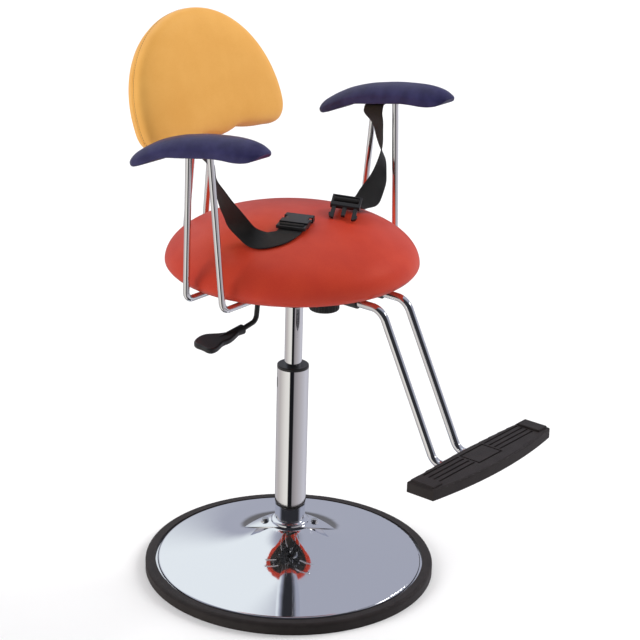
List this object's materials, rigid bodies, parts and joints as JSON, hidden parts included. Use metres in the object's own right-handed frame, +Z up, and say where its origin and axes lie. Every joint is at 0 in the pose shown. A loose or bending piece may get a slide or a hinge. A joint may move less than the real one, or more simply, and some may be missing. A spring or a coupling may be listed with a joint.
{
  "type": "salon chair",
  "caption": "Child's salon chair: domed round seat, arched backrest, two padded armrests, buckled lap belt and footrest on a chrome gas-lift column with a round base.",
  "frame": {"origin": "on the floor, on the column's axis", "axes": "+Z up along the column; the chair faces -Y, so the footrest is at -Y and the backrest at +Y; the sitter's right arm and the lift lever are at -X"},
  "size_m": [0.501, 0.6584, 0.8922],
  "materials": {
    "chrome": "polished",
    "zinc_steel": "bright zinc",
    "black_steel": "satin black paint",
    "cast_iron": "as cast",
    "black_rubber": "matt moulded",
    "black_plastic": "satin moulded",
    "orange_vinyl": "smooth upholstery vinyl",
    "yellow_vinyl": "fine-grained upholstery vinyl",
    "navy_foam": "moulded skin, satin",
    "black_webbing": "woven",
    "plywood": "raw birch plywood"
  },
  "bodies": {
    "base": {"base_trim_ring": "black_rubber", "base_dish": "chrome", "base_weight": "cast_iron", "base_underlay": "black_rubber", "column_flange": "chrome", "flange_bolts": "zinc_steel", "groove_ring": "black_plastic", "column_sleeve": "chrome", "stand_tube": "zinc_steel", "column_bush": "black_plastic", "bearing_lower_race": "zinc_steel", "bearing_balls": "zinc_steel"},
    "piston": {"piston_rod": "zinc_steel", "bearing_upper_race": "zinc_steel", "retaining_clip": "zinc_steel"},
    "seat": {"gas_cylinder": "chrome", "seat_carrier": "black_steel", "lever_pivot": "zinc_steel", "footrest_guide": "black_steel", "clamp_bar": "zinc_steel", "seat_board": "plywood", "seat_cushion": "orange_vinyl", "seat_screws": "zinc_steel", "arm_post_right_front": "chrome", "arm_post_right_rear": "chrome", "arm_post_left_front": "chrome", "arm_post_left_rear": "chrome", "arm_plates": "black_steel", "arm_strip_right": "black_steel", "arm_strip_left": "black_steel", "armrest_right": "navy_foam", "armrest_left": "navy_foam", "armrest_screws": "zinc_steel", "backrest_pad": "yellow_vinyl", "back_board": "plywood", "back_bar_right": "chrome", "back_bar_left": "chrome", "back_cross_plate": "black_steel", "back_foot_plate": "black_steel", "back_screws": "zinc_steel", "strap_right": "black_webbing", "strap_left": "black_webbing", "strap_screws": "zinc_steel", "buckle_socket": "black_plastic", "buckle_plug": "black_plastic"},
    "lever": {"lever_rod": "black_steel", "lever_grip": "black_plastic"},
    "release_pin": {"release_pin": "zinc_steel"},
    "footrest": {"footrest_rod_right": "chrome", "footrest_rod_left": "chrome", "footrest_end_caps": "black_plastic", "footplate_core": "black_steel", "footplate_cover": "black_rubber", "footplate_screws": "zinc_steel"},
    "knob": {"clamp_knob": "black_plastic", "knob_stud": "zinc_steel"}
  },
  "joints": [
    {"name": "swivel", "type": "hinge", "parent": "base", "child": "piston", "pos_m": [0, 0, 0.06], "axis": [0, 0, 1], "continuous": true},
    {"name": "gas_lift", "type": "slide", "parent": "piston", "child": "seat", "axis": [0, 0, 1], "range_m": [-0.088, 0]},
    {"name": "lever_hinge", "type": "hinge", "parent": "seat", "child": "lever", "pos_m": [-0.04, 0, 0.505], "axis": [0, 1, 0], "range_deg": [0, 4.5], "stiffness_Nm_per_rad": 6, "springref_deg": -6.88},
    {"name": "pin_slide", "type": "slide", "parent": "seat", "child": "release_pin", "axis": [0, 0, -1], "range_m": [0, 0.0034]},
    {"name": "footrest_slide", "type": "slide", "parent": "seat", "child": "footrest", "axis": [0, -1, 0], "range_m": [-0.01, 0.035]},
    {"name": "knob_turn", "type": "hinge", "parent": "seat", "child": "knob", "pos_m": [0, -0.06, 0.476], "axis": [0, 0, 1], "range_deg": [-360, 0]}
  ],
  "couplings": [
    {"joint": "pin_slide", "follows": "lever_hinge", "m_per_rad": 0.0425}
  ]
}
